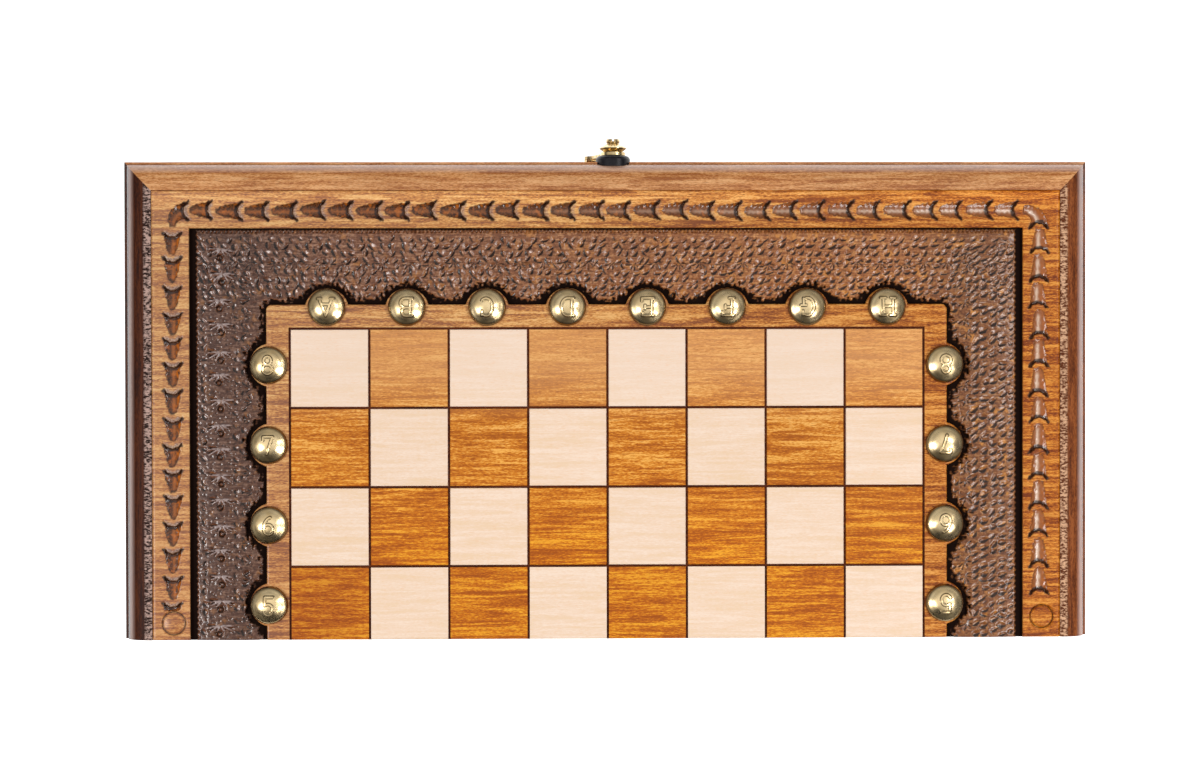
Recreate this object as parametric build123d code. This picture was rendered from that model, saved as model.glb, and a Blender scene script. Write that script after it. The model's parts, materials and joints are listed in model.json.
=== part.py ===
from build123d import *
import os

# Folding backgammon case, shown closed. Millimetres, +X along the hinge line, +Y from
# the hinge towards the latch, +Z up. Every piece is first made with y = 0 on the hinge
# face and z = 0 on the plane where the two halves meet, then moved to the origin of the
# whole case, which is the bottom centre of its outer box.

# Case
case_length = 500.0
half_depth = 247.0
half_height = 32.0

# Moulded rails: wall, small lip, then a rounded top up to the panel
rail_width = 15.2
lip_width = 1.4
lip_drop = 10.0
rail_top_drop = 0.5
hinge_rail_width = 15.2

# Face panel and the tongue that the rails hold it by
panel_thickness = 12.0
panel_edge_radius = 1.8
hinge_edge_radius = 1.0
tongue_thickness = 4.0
tongue_depth = 4.0
tongue_height = 2.0
tongue_fit = 0.15

# Carved border: flat band, sunk field with a crowned bolster, raised plaque
band_width = 19.6
field_width = 39.4
field_depth = 2.5
side_groove = 3.8
front_groove = 0.8
plaque_groove = 2.3
bolster_edge_drop = 1.6
bolster_crown_drop = 0.3
plaque_corner_radius = 3.0
lobe_radius = 11.4
lobe_inset = 1.5

# Ring cut by hand at the hinge end of each side band, a little inside the band's middle
ring_radius = 5.8
ring_groove = 0.8
ring_depth = 0.9
left_ring_inset = 1.4
left_ring_from_hinge = 8.8
right_ring_inset = 0.1
right_ring_from_hinge = 10.8

# Playing squares, let into the plaque between dark grooves
columns = 8
rows = 4
side_margin = 12.2
front_margin = 12.3
line_width = 1.2
line_depth = 0.8
tile_thickness = 3.0
tile_edge = 0.25
inlay_fit = 0.05

# Domed studs
stud_radius = 9.8
stud_height = 6.0
stud_crown_radius = 13.0
stud_shoulder_radius = 3.2
stud_shank_radius = 1.25
stud_shank_length = 8.0
stud_inset = 1.4
letter_stretch = 0.4
number_stretch = 0.3
first_number_from_hinge = 18.1

# Points inlaid in the playing field inside
points_per_end = 6
point_length = 195.0
point_tip_width = 2.0
point_spacing = 1.2
point_thickness = 1.0
point_wall_gap = 1.0

# Hinges
hinge_inset = 90.0
hinge_length = 50.0
leaf_width = 13.2
leaf_thickness = 1.2
leaf_gap = 0.1
knuckles = 5
knuckle_radius = 2.4
knuckle_gap = 0.3
pin_radius = 1.2
pin_fit = 0.05
pin_overhang = 0.6
hinge_axis_out = 0.3
barrel_clearance = 0.5

# Hinge screws
screws_per_leaf = 3
screw_spacing = 16.0
screw_from_axis = 8.2
screw_head_radius = 2.6
screw_shank_radius = 1.3
screw_length = 10.0
screw_fit = 0.05
screw_slot_width = 0.6
screw_slot_depth = 0.5

# Latch on the upper half
latch_x = 3.4
latch_drop = 14.5
rosette_radius = 8.9
rosette_reach = 3.6
rosette_recess = 2.3
rosette_fit = 0.6
knob_shank_radius = 1.5
knob_shank_length = 9.0
journal_radius = 3.0
journal_fit = 0.05
flange_radius = 4.6
flare_radius = 7.05
tip_radius = 3.6
flare_reach = 7.3
knob_reach = 12.1
tip_height = 2.4
tip_slot = 1.0
tip_slot_depth = 1.2

# Hook, drawn hanging straight down and then swung aside to its rest
hook_thickness = 1.5
hook_play = 0.12
hook_eye_radius = 6.4
hook_arm_width = 5.6
hook_end_radius = 4.6
hook_tail = 5.2
hook_roll_radius = 1.6
hook_rest_angle = 23.0
mouth_fit = 0.5

# Catch on the lower half
catch_drop = 8.0
catch_base_radius = 6.0
catch_base_thickness = 1.6
catch_neck_radius = 1.5
catch_head_radius = 2.8
catch_head_thickness = 1.6
catch_head_gap = 0.4
catch_shank_length = 9.0
shank_fit = 0.05

# Places worked out from the sizes above
face = half_height
panel_half_width = case_length / 2 - rail_width
panel_front = half_depth - rail_width
panel_back = face - panel_thickness
field_half_width = panel_half_width - band_width
field_front = panel_front - band_width
plaque_half_width = field_half_width - field_width
plaque_front = field_front - field_width
grid_half_width = plaque_half_width - side_margin
grid_front = plaque_front - front_margin
square_pitch = 2 * grid_half_width / columns
tile_side = square_pitch - line_width
letter_pitch = square_pitch + letter_stretch
number_pitch = square_pitch + number_stretch
hinge_axis_y = -hinge_axis_out
latch_z = face - latch_drop
hook_inner = rosette_reach + hook_play
hook_outer = hook_inner + hook_thickness
knob_flange_reach = hook_outer + hook_play
catch_distance = latch_z + catch_drop
hook_end_reach = catch_distance + hook_tail
catch_head_inner = hook_outer + catch_head_gap
rear_reach = hinge_axis_y - knuckle_radius
front_reach = half_depth + knob_reach
origin_y = (front_reach + rear_reach) / 2
origin_z = half_height + stud_height


def slab(x0, x1, y0, y1, z0, z1):
    """Block between two corners."""
    middle = Pos((x0 + x1) / 2, (y0 + y1) / 2, (z0 + z1) / 2)
    return middle * Box(x1 - x0, y1 - y0, z1 - z0)


def disc_y(x, z, radius, y0, y1):
    """Round bar along Y between two depths."""
    turn = Rot(-90, 0, 0)
    return Pos(x, (y0 + y1) / 2, z) * turn * Cylinder(radius, y1 - y0)


def bar_x(x0, x1, y, z, radius):
    """Round bar along X."""
    return Pos((x0 + x1) / 2, y, z) * Rot(0, 90, 0) * Cylinder(radius, x1 - x0)


def turned(points, x, z):
    """Solid of revolution about Y on the front face, from (radius, reach) points."""
    face_outline = make_face(Plane.XY * Polyline(*points, close=True))
    return Pos(x, half_depth, z) * revolve(face_outline, Axis.Y)


def prism(outline, z0, z1):
    """Outline drawn in XY, from one height to another."""
    return Pos(0, 0, z0) * extrude(outline, z1 - z0)


def stud_places(kind):
    """Centres of the letter studs or of the number studs."""
    if kind == "letters":
        first = -(columns - 1) / 2 * letter_pitch
        y = plaque_front - stud_inset
        return [(first + i * letter_pitch, y) for i in range(columns)]
    x = plaque_half_width - stud_inset
    heights = [first_number_from_hinge + i * number_pitch for i in range(rows)]
    return [(side * x, y) for side in (-1, 1) for y in heights]


# Rails

def rail_section():
    """Rail's section: across the wall from the outside inwards, and height."""
    lip = face - lip_drop
    top = face - rail_top_drop
    outline = Polyline((rail_width, top), (rail_width, 0), (0, 0), (0, lip), (lip_width, lip))
    rounded = EllipticalCenterArc(
        (rail_width, lip), rail_width - lip_width, top - lip, 90, arc_size=90
    )
    return make_face(outline + rounded)


def tongue_slot_range():
    """Heights of the slot that takes the panel's tongue."""
    low = panel_back + tongue_height
    return low, low + tongue_thickness


def side_rail(side):
    """Left (-1) or right (1) rail, square at the hinge and mitred at the front."""
    run = extrude(Plane.XZ * rail_section(), -half_depth)
    low, high = tongue_slot_range()
    run -= slab(rail_width - tongue_depth, rail_width, 0, half_depth, low, high)
    corner = Polyline(
        (0, half_depth), (rail_width, panel_front), (rail_width, half_depth), close=True
    )
    run -= prism(make_face(corner), 0, half_height)
    left = Pos(-case_length / 2, 0, 0) * run
    return left if side < 0 else mirror(left, about=Plane.YZ)


def plain_front_rail():
    """Rail on the latch side, mitred at both ends."""
    section = Plane(origin=(0, half_depth, 0), x_dir=(0, -1, 0), z_dir=(-1, 0, 0))
    run = extrude(section * rail_section(), case_length / 2, both=True)
    low, high = tongue_slot_range()
    run -= slab(
        -case_length / 2, case_length / 2, panel_front, panel_front + tongue_depth, low, high
    )
    half = case_length / 2
    for side in (-1, 1):
        corner = Polyline(
            (side * half, half_depth),
            (side * panel_half_width, panel_front),
            (side * half, panel_front),
            close=True,
        )
        run -= prism(make_face(corner), 0, half_height)
    return run


def upper_front_rail():
    """Front rail with the round recess and the hole for the latch."""
    floor = half_depth - rosette_recess
    hole = knob_shank_radius + shank_fit
    rail = plain_front_rail()
    rail -= disc_y(latch_x, latch_z, rosette_radius + rosette_fit, floor, half_depth + 1)
    rail -= disc_y(latch_x, latch_z, hole, floor - knob_shank_length, half_depth)
    return rail


def lower_front_rail():
    """Front rail with the hole for the catch pin."""
    rail = mirror(plain_front_rail(), about=Plane.XY)
    hole = catch_neck_radius + shank_fit
    return rail - disc_y(latch_x, -catch_drop, hole, half_depth - catch_shank_length, half_depth)


def hinge_rail():
    """Inner wall at the hinge, let in for the leaves, barrels and screws."""
    rail = slab(-panel_half_width, panel_half_width, 0, hinge_rail_width, 0, panel_back)
    pocket = leaf_gap + leaf_thickness
    half = hinge_length / 2
    for x in hinge_places():
        rail -= slab(x - half, x + half, 0, leaf_width, 0, pocket)
        reach = half + pin_overhang + knuckle_gap
        rail -= bar_x(x - reach, x + reach, hinge_axis_y, 0, knuckle_radius + barrel_clearance)
    hole = screw_shank_radius + screw_fit
    for x, y in screw_places():
        rail -= Pos(x, y, screw_length / 2) * Cylinder(hole, screw_length)
    return rail


# Face panel

def plaque_outline(grow):
    """Raised plaque with a lobe behind each stud, grown by a margin."""
    half = plaque_half_width + grow
    front = plaque_front + grow
    outline = Pos(0, front / 2) * Rectangle(2 * half, front)
    corners = outline.vertices().group_by(Axis.Y)[-1]
    outline = fillet(corners, plaque_corner_radius + grow)
    lobes = [(x, y - lobe_inset) for x, y in stud_places("letters")]
    for x, y in stud_places("numbers"):
        lobes.append((x - lobe_inset if x > 0 else x + lobe_inset, y))
    for x, y in lobes:
        outline += Pos(x, y) * Circle(lobe_radius + grow)
    return outline


def bolster():
    """Crowned field between the grooves: three runs, mitred, open at the hinge."""
    floor = face - field_depth
    edge = face - bolster_edge_drop
    crown = face - bolster_crown_drop

    def section(inner, outer):
        sides = Polyline((outer, edge), (outer, floor), (inner, floor), (inner, edge))
        top = ThreePointArc((inner, edge), ((inner + outer) / 2, crown), (outer, edge))
        return make_face(sides + top)

    side_outer = field_half_width - side_groove
    front_outer = field_front - front_groove
    side_run = extrude(Plane.XZ * section(plaque_half_width, side_outer), -front_outer)
    along_x = Plane(origin=(0, 0, 0), x_dir=(0, 1, 0), z_dir=(1, 0, 0))
    front_run = extrude(along_x * section(plaque_front, front_outer), side_outer, both=True)
    half_miter = Polyline(
        (plaque_half_width, 0),
        (plaque_half_width, plaque_front),
        (side_outer, front_outer),
        (side_outer, 0),
        close=True,
    )
    side_run &= prism(make_face(half_miter), floor, face)
    full_miter = Polyline(
        (-plaque_half_width, plaque_front),
        (plaque_half_width, plaque_front),
        (side_outer, front_outer),
        (-side_outer, front_outer),
        close=True,
    )
    front_run &= prism(make_face(full_miter), floor, face)
    whole = front_run + side_run + mirror(side_run, about=Plane.YZ)
    return whole - prism(plaque_outline(plaque_groove), floor, face)


def panel_blank():
    """Board with rounded edges and a tongue on the three sides that the rails hold."""
    blank = slab(-panel_half_width, panel_half_width, 0, panel_front, panel_back, face)
    top = blank.faces().sort_by(Axis.Z)[-1].edges()
    held = top.sort_by(Axis.Y)[1:]
    blank = fillet(held, panel_edge_radius)
    low, high = tongue_slot_range()
    reach = tongue_depth - tongue_fit
    tongue = slab(
        -panel_half_width - reach,
        panel_half_width + reach,
        0,
        panel_front + reach,
        low + tongue_fit,
        high - tongue_fit,
    )
    return blank + tongue


def grid_lines():
    """Grooves between and round the playing squares."""
    floor = face - line_depth
    half_line = line_width / 2
    front = grid_front + half_line
    cuts = []
    for i in range(columns + 1):
        x = -grid_half_width + i * square_pitch
        cuts.append(slab(x - half_line, x + half_line, 0, front, floor, face))
    for i in range(rows):
        y = grid_front - i * square_pitch
        side = grid_half_width + half_line
        cuts.append(slab(-side, side, y - half_line, y + half_line, floor, face))
    return cuts


def tile_spans():
    """Each square's column, row and its span in X and Y. The row at the hinge is cut short."""
    spans = []
    for column in range(columns):
        x0 = -grid_half_width + column * square_pitch + line_width / 2
        for row in range(rows):
            y1 = grid_front - row * square_pitch - line_width / 2
            y0 = 0 if row == rows - 1 else y1 - tile_side
            spans.append((column, row, x0, x0 + tile_side, y0, y1))
    return spans


def ring_cuts():
    """Ring groove at the hinge end of each side band."""
    middle = panel_half_width - band_width / 2
    places = [
        (left_ring_inset - middle, left_ring_from_hinge),
        (middle - right_ring_inset, right_ring_from_hinge),
    ]
    outer = ring_radius + ring_groove / 2
    inner = ring_radius - ring_groove / 2
    ring = Circle(outer) - Circle(inner)
    return [prism(Pos(x, y) * ring, face - ring_depth, face) for x, y in places]


def face_panel():
    """Carved board: band, sunk field with its bolster, plaque, pockets and stud holes."""
    panel = panel_blank()
    outer = Pos(0, field_front / 2) * Rectangle(2 * field_half_width, field_front)
    field = prism(outer, face - field_depth, face)
    field -= prism(plaque_outline(0), face - field_depth, face)
    panel = panel - field + bolster()
    cuts = grid_lines() + ring_cuts()
    bottom = face - tile_thickness
    for column, row, x0, x1, y0, y1 in tile_spans():
        back = y0 if y0 == 0 else y0 - inlay_fit
        cuts.append(
            slab(x0 - inlay_fit, x1 + inlay_fit, back, y1 + inlay_fit, bottom, face)
        )
    for x, y in stud_places("letters") + stud_places("numbers"):
        radius = stud_shank_radius + shank_fit
        middle = face - stud_shank_length / 2
        cuts.append(Pos(x, y, middle) * Cylinder(radius, stud_shank_length))
    for end, index, outline in point_outlines(inlay_fit):
        cuts.append(prism(outline, panel_back, panel_back + point_thickness))
    panel -= cuts
    edges = panel.edges().filter_by(Axis.X).filter_by(
        lambda e: abs(e.center().Y) < 1e-6 and abs(e.center().Z - face) < 1e-6
    )
    return fillet(edges, hinge_edge_radius)


def squares(parity):
    """Light (0) or dark (1) squares of the half whose corner square is light."""
    tiles = []
    for column, row, x0, x1, y0, y1 in tile_spans():
        if (column + row) % 2 != parity:
            continue
        tile = slab(x0, x1, y0, y1, face - tile_thickness, face)
        top = tile.faces().sort_by(Axis.Z)[-1].edges()
        hinge_side = top.sort_by(Axis.Y)[0]
        if y0 == 0:
            tile = fillet(hinge_side, hinge_edge_radius)
        else:
            tile = chamfer(top, tile_edge)
        tiles.append(tile)
    return Compound(tiles)


# Studs

def stud(x, y):
    """Domed stud, a broad crown arc and a tighter shoulder, with a round shank."""
    run = stud_radius - stud_shoulder_radius
    centres = stud_crown_radius - stud_shoulder_radius
    rise = (centres**2 - run**2) ** 0.5
    shoulder_z = stud_height - stud_crown_radius + rise
    share = stud_crown_radius / centres
    touch = (run * share, stud_height - stud_crown_radius + rise * share)
    crown = TangentArc((0, stud_height), touch, tangent=(1, 0))
    shoulder = TangentArc(touch, (stud_radius, shoulder_z), tangent=crown % 1)
    dome = crown + shoulder
    rest = Polyline(
        (stud_radius, shoulder_z),
        (stud_radius, 0),
        (stud_shank_radius, 0),
        (stud_shank_radius, -stud_shank_length),
        (0, -stud_shank_length),
        (0, stud_height),
    )
    half = make_face(Plane.XZ * (dome + rest))
    return Pos(x, y, face) * revolve(half, Axis.Z)


def studs(kind):
    """All letter studs or all number studs of one half."""
    return Compound([stud(x, y) for x, y in stud_places(kind)])


# Points inside

def point_outlines(grow):
    """Long tapered inlays from each short wall: end, index and outline."""
    inside_back = hinge_rail_width
    pitch = (panel_front - inside_back) / points_per_end
    base = panel_half_width - point_wall_gap
    outlines = []
    for end in (-1, 1):
        for index in range(points_per_end):
            y = inside_back + (index + 0.5) * pitch
            half_base = (pitch - point_spacing) / 2 + grow
            half_tip = point_tip_width / 2 + grow
            outline = Polyline(
                (end * (base + grow), y - half_base),
                (end * (base + grow), y + half_base),
                (end * (base - point_length - grow), y + half_tip),
                (end * (base - point_length - grow), y - half_tip),
                close=True,
            )
            outlines.append((end, index, make_face(outline)))
    return outlines


def points(parity):
    """Light (0) or dark (1) points of one half. Facing points differ in colour."""
    inlays = []
    for end, index, outline in point_outlines(0):
        if (index + (end > 0)) % 2 == parity:
            inlays.append(prism(outline, panel_back, panel_back + point_thickness))
    return Compound([solid for inlay in inlays for solid in inlay.solids()])


# Hinges

def hinge_places():
    """Middle of each hinge along X."""
    place = case_length / 2 - hinge_inset
    return [-place, place]


def screw_places():
    """Screw centres of one half."""
    first = -(screws_per_leaf - 1) / 2 * screw_spacing
    steps = [first + i * screw_spacing for i in range(screws_per_leaf)]
    y = hinge_axis_y + screw_from_axis
    return [(x + step, y) for x in hinge_places() for step in steps]


def countersink(x, y, grow):
    """Screw head's cone in the leaf that faces down."""
    top = screw_shank_radius + grow
    bottom = screw_head_radius + grow
    return Pos(x, y, leaf_gap + leaf_thickness / 2) * Cone(bottom, top, leaf_thickness)


def hinge_leaf(x, own):
    """Leaf let into the upper hinge rail, with the knuckles numbered in own."""
    half = hinge_length / 2
    low, high = leaf_gap, leaf_gap + leaf_thickness
    leaf = slab(x - half, x + half, 0, leaf_width, low, high)
    leaf -= bar_x(x - half, x + half, hinge_axis_y, 0, knuckle_radius + knuckle_gap)
    pitch = hinge_length / knuckles
    for k in own:
        start = x - half + k * pitch + (knuckle_gap / 2 if k > 0 else 0)
        end = x - half + (k + 1) * pitch - (knuckle_gap / 2 if k < knuckles - 1 else 0)
        leaf += bar_x(start, end, hinge_axis_y, 0, knuckle_radius)
        web = hinge_axis_y + knuckle_radius + knuckle_gap
        leaf += slab(start, end, hinge_axis_y, web + knuckle_gap, low, high)
    leaf -= bar_x(x - half, x + half, hinge_axis_y, 0, pin_radius + pin_fit)
    for sx, sy in screw_places():
        if abs(sx - x) < half:
            leaf -= countersink(sx, sy, screw_fit)
    return leaf


def hinge_pin(x):
    """Pin through all the knuckles."""
    reach = hinge_length / 2 + pin_overhang
    return bar_x(x - reach, x + reach, hinge_axis_y, 0, pin_radius)


def hinge_screws():
    """Countersunk slotted screws of the upper leaves."""
    screws = []
    high = leaf_gap + leaf_thickness
    for x, y in screw_places():
        screw = countersink(x, y, 0)
        middle = (high + screw_length) / 2
        screw += Pos(x, y, middle) * Cylinder(screw_shank_radius, screw_length - high)
        slot_top = leaf_gap + screw_slot_depth
        half_slot = screw_slot_width / 2
        screw -= slab(
            x - screw_head_radius, x + screw_head_radius, y - half_slot, y + half_slot,
            leaf_gap, slot_top,
        )
        screws.append(screw)
    return Compound([solid for screw in screws for solid in screw.solids()])


# Latch

def latch_rosette():
    """Dark domed disc in the round recess, with a hole for the knob's shank."""
    hole = knob_shank_radius + shank_fit
    edge = rosette_radius
    points = [
        (hole, -rosette_recess),
        (edge, -rosette_recess),
        (edge, rosette_reach * 0.45),
        (edge * 0.96, rosette_reach * 0.7),
        (edge * 0.88, rosette_reach * 0.88),
        (edge * 0.76, rosette_reach),
        (hole, rosette_reach),
    ]
    return turned(points, latch_x, latch_z)


def latch_knob():
    """Turned knob: shank, journal for the hook, flared bowl and a slotted tip."""
    tip_base = knob_reach - tip_height
    points = [
        (0, -rosette_recess - knob_shank_length),
        (knob_shank_radius, -rosette_recess - knob_shank_length),
        (knob_shank_radius, rosette_reach),
        (journal_radius, rosette_reach),
        (journal_radius, knob_flange_reach),
        (flange_radius, knob_flange_reach),
        (flare_radius, flare_reach),
        (flare_radius, flare_reach + 0.3),
        (flare_radius * 0.8, flare_reach + 1.1),
        (tip_radius * 1.02, tip_base - 0.2),
        (tip_radius * 0.86, tip_base + 0.3),
        (tip_radius, tip_base + 1.2),
        (tip_radius * 0.94, knob_reach),
        (0, knob_reach),
    ]
    knob = turned(points, latch_x, latch_z)
    y0 = half_depth + knob_reach - tip_slot_depth
    y1 = half_depth + knob_reach
    half = tip_slot / 2
    knob -= slab(
        latch_x - tip_radius, latch_x + tip_radius, y0, y1, latch_z - half, latch_z + half
    )
    knob -= slab(
        latch_x - half, latch_x + half, y0, y1, latch_z - tip_radius, latch_z + tip_radius
    )
    return knob


def latch_hook():
    """Flat hook with an eye, a mouth that opens to the right and a rolled thumb end."""
    roll_drop = hook_end_reach - hook_roll_radius
    outline = Circle(hook_eye_radius)
    outline += Pos(0, -roll_drop / 2) * Rectangle(hook_arm_width, roll_drop)
    outline += Pos(0, -catch_distance) * Circle(hook_end_radius)
    mouth = catch_neck_radius + mouth_fit
    outline -= Pos(0, -catch_distance) * Circle(mouth)
    reach = hook_end_radius + mouth_fit
    outline -= Pos(reach / 2, -catch_distance) * Rectangle(reach, 2 * mouth)
    outline -= Circle(journal_radius + journal_fit)
    upright = Plane(origin=(0, half_depth, 0), x_dir=(1, 0, 0), z_dir=(0, -1, 0))
    plate = extrude(upright * outline, -hook_thickness)
    hook = Pos(0, hook_inner, 0) * plate
    roll_y = half_depth + hook_outer - hook_roll_radius
    half = hook_arm_width / 2
    hook += bar_x(-half, half, roll_y, -roll_drop, hook_roll_radius)
    return Pos(latch_x, 0, latch_z) * Rot(0, hook_rest_angle, 0) * hook


def catch_base():
    """Small round plate under the catch pin."""
    hole = catch_neck_radius + shank_fit
    edge = catch_base_radius
    top = catch_base_thickness
    points = [(hole, 0), (edge, 0), (edge, top * 0.5), (edge * 0.92, top), (hole, top)]
    return turned(points, latch_x, -catch_drop)


def catch_pin():
    """Headed pin that the hook's mouth closes on."""
    head = catch_head_inner + catch_head_thickness
    points = [
        (0, -catch_shank_length),
        (catch_neck_radius, -catch_shank_length),
        (catch_neck_radius, catch_head_inner),
        (catch_head_radius, catch_head_inner),
        (catch_head_radius, catch_head_inner + catch_head_thickness * 0.4),
        (catch_head_radius * 0.6, head),
        (0, head),
    ]
    return turned(points, latch_x, -catch_drop)


# Whole case

def below(shape):
    """The same piece on the lower half."""
    return mirror(shape, about=Plane.XY)


def pieces():
    """Every node's name and solid, in the frame in which they are drawn."""
    panel = face_panel()
    left = side_rail(-1)
    right = side_rail(1)
    wall = hinge_rail()
    light_first = squares(0)
    dark_first = squares(1)
    letter_studs = studs("letters")
    number_studs = studs("numbers")
    light_points = points(0)
    dark_points = points(1)
    screws = hinge_screws()
    named = {
        "upper_face_panel": panel,
        "upper_front_rail": upper_front_rail(),
        "upper_left_rail": left,
        "upper_right_rail": right,
        "upper_hinge_rail": wall,
        "upper_light_squares": light_first,
        "upper_dark_squares": dark_first,
        "upper_letter_studs": letter_studs,
        "upper_number_studs": number_studs,
        "upper_light_points": light_points,
        "upper_dark_points": dark_points,
        "upper_hinge_screws": screws,
        "lower_face_panel": below(panel),
        "lower_front_rail": lower_front_rail(),
        "lower_left_rail": below(left),
        "lower_right_rail": below(right),
        "lower_hinge_rail": below(wall),
        "lower_light_squares": below(dark_first),
        "lower_dark_squares": below(light_first),
        "lower_letter_studs": below(letter_studs),
        "lower_number_studs": below(number_studs),
        "lower_light_points": below(light_points),
        "lower_dark_points": below(dark_points),
        "lower_hinge_screws": below(screws),
        "latch_rosette": latch_rosette(),
        "latch_knob": latch_knob(),
        "latch_hook": latch_hook(),
        "catch_base": catch_base(),
        "catch_pin": catch_pin(),
    }
    lower_knuckles = range(0, knuckles, 2)
    upper_knuckles = range(1, knuckles, 2)
    for word, x in zip(("left", "right"), hinge_places()):
        named[word + "_hinge_upper_leaf"] = hinge_leaf(x, upper_knuckles)
        named[word + "_hinge_lower_leaf"] = below(hinge_leaf(x, lower_knuckles))
        named[word + "_hinge_pin"] = hinge_pin(x)
    return named


os.makedirs("parts", exist_ok=True)
for name, shape in pieces().items():
    export_step(Pos(0, -origin_y, origin_z) * shape, "parts/" + name + ".step")
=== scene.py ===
import bmesh
import bpy
import json
import math
import numpy as np
from mathutils import Matrix, Vector, geometry

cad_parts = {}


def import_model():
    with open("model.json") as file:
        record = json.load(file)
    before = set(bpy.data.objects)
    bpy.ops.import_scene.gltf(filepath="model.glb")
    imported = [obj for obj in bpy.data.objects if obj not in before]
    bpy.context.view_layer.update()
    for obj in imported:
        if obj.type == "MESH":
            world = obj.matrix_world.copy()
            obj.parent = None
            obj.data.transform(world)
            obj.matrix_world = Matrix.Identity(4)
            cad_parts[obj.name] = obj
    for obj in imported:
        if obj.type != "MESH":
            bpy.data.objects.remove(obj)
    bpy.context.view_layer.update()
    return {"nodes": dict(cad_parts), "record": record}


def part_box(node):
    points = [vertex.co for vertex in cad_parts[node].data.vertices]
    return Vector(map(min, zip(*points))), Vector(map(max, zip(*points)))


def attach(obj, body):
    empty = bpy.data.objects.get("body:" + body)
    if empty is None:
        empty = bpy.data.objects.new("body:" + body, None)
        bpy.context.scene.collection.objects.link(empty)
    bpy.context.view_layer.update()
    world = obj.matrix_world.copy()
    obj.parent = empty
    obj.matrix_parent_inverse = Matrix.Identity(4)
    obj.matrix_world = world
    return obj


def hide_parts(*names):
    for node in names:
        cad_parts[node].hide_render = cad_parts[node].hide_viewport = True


# Folding backgammon case, seen from above. Shapes are worked out in millimetres: x from the
# middle of the case, y from the hinge side towards the latch, h up from the playing face.

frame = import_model()
nodes = frame["nodes"]

MM = 0.001
HALVES = ("upper", "lower")

# Places read from the frame
rail_low, rail_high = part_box("upper_left_rail")
front_low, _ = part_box("upper_front_rail")
_, light_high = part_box("upper_light_squares")
letters_low, letters_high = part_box("upper_letter_studs")
numbers_low, numbers_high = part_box("upper_number_studs")
points_low, points_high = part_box("upper_light_points")
hinge_y = rail_low.y
seam_z = rail_low.z
face_z = light_high.z


def mm_x(value):
    return value / MM


def mm_y(value):
    return (value - hinge_y) / MM


def mm_h(value):
    return (value - face_z) / MM


panel_half = mm_x(-rail_high.x)
panel_front = mm_y(front_low.y)
panel_back = mm_h(points_low.z)
stud_radius = mm_y(letters_high.y - letters_low.y + hinge_y) / 2
stud_height = mm_h(letters_high.z)
letter_y = mm_y(letters_high.y) - stud_radius
letter_reach = mm_x(letters_high.x) - stud_radius
number_x = mm_x(numbers_high.x) - stud_radius
number_ends = mm_y(numbers_low.y) + stud_radius, mm_y(numbers_high.y) - stud_radius

# Carved border
COLUMNS, ROWS = 8, 4
LINE_WIDTH = 1.2
LINE_DEPTH = 0.8
TILE_DEPTH = 3.0
BAND = 19.6
FIELD = 39.4
FIELD_DEPTH = 2.5
SIDE_GROOVE = 3.8
FRONT_GROOVE = 0.8
PLAQUE_GROOVE = 2.3
BOLSTER_EDGE = 1.6
BOLSTER_CROWN = 0.45
LOBE_RADIUS = 11.4
LOBE_INSET = 1.5
PLAQUE_CORNER = 3.0
PANEL_EDGE = 1.8
HINGE_EDGE = 1.0
SKIRT = 3.2

field_half = panel_half - BAND
field_front = panel_front - BAND
plaque_half = field_half - FIELD
plaque_front = field_front - FIELD
grid_half = mm_x(light_high.x) + LINE_WIDTH / 2
pitch = 2 * grid_half / COLUMNS
grid_front = mm_y(light_high.y) + LINE_WIDTH / 2
bed_half = grid_half + LINE_WIDTH / 2
bed_front = grid_front + LINE_WIDTH / 2
# Spacing of the relief's grid, and points of a stud towards its rim and round it
FINE, STUD_RINGS, STUD_TURNS = ((0.45, 40, 145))

letter_places = [(x, letter_y) for x in np.linspace(-letter_reach, letter_reach, COLUMNS)]
number_places = [(side * number_x, y) for side in (-1, 1) for y in np.linspace(*number_ends, ROWS)]
# Lobes of the plaque lie a little further in than the studs that they carry
lobe_places = [(x, y - LOBE_INSET) for x, y in letter_places]
lobe_places += [(x - math.copysign(LOBE_INSET, x), y) for x, y in number_places]


# Mesh helpers

def new_object(name, data):
    made = bpy.data.objects.new(name, data)
    bpy.context.scene.collection.objects.link(made)
    return made


def to_row(x, y, h, half):
    """Points in metres. The lower half mirrors the upper one about the seam."""
    z = face_z + np.asarray(h) * MM
    if half == "lower":
        z = 2 * seam_z - z
    return np.stack([np.asarray(x) * MM, hinge_y + np.asarray(y) * MM, z], axis=-1).reshape(-1, 3)


def mesh_object(name, points, faces, values=None, sharp=50):
    """Object from an array of points and an array of faces with equal corners."""
    mesh = bpy.data.meshes.new(name)
    mesh.vertices.add(len(points))
    mesh.vertices.foreach_set("co", points.astype(np.float32).ravel())
    mesh.loops.add(faces.size)
    mesh.loops.foreach_set("vertex_index", faces.astype(np.int32).ravel())
    mesh.polygons.add(len(faces))
    mesh.polygons.foreach_set("loop_start", np.arange(0, faces.size, faces.shape[1], dtype=np.int32))
    mesh.update(calc_edges=True)
    mesh.shade_smooth()
    mesh.set_sharp_from_angle(angle=math.radians(sharp))
    for key, array in (values or {}).items():
        layer = mesh.attributes.new(key, "FLOAT", "POINT")
        layer.data.foreach_set("value", np.asarray(array, np.float32).ravel())
    return new_object(name, mesh)


def grid_faces(rows, columns):
    index = np.arange(rows * columns).reshape(rows, columns)
    corners = [index[:-1, :-1], index[:-1, 1:], index[1:, 1:], index[1:, :-1]]
    return np.stack(corners, axis=-1).reshape(-1, 4)


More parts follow.
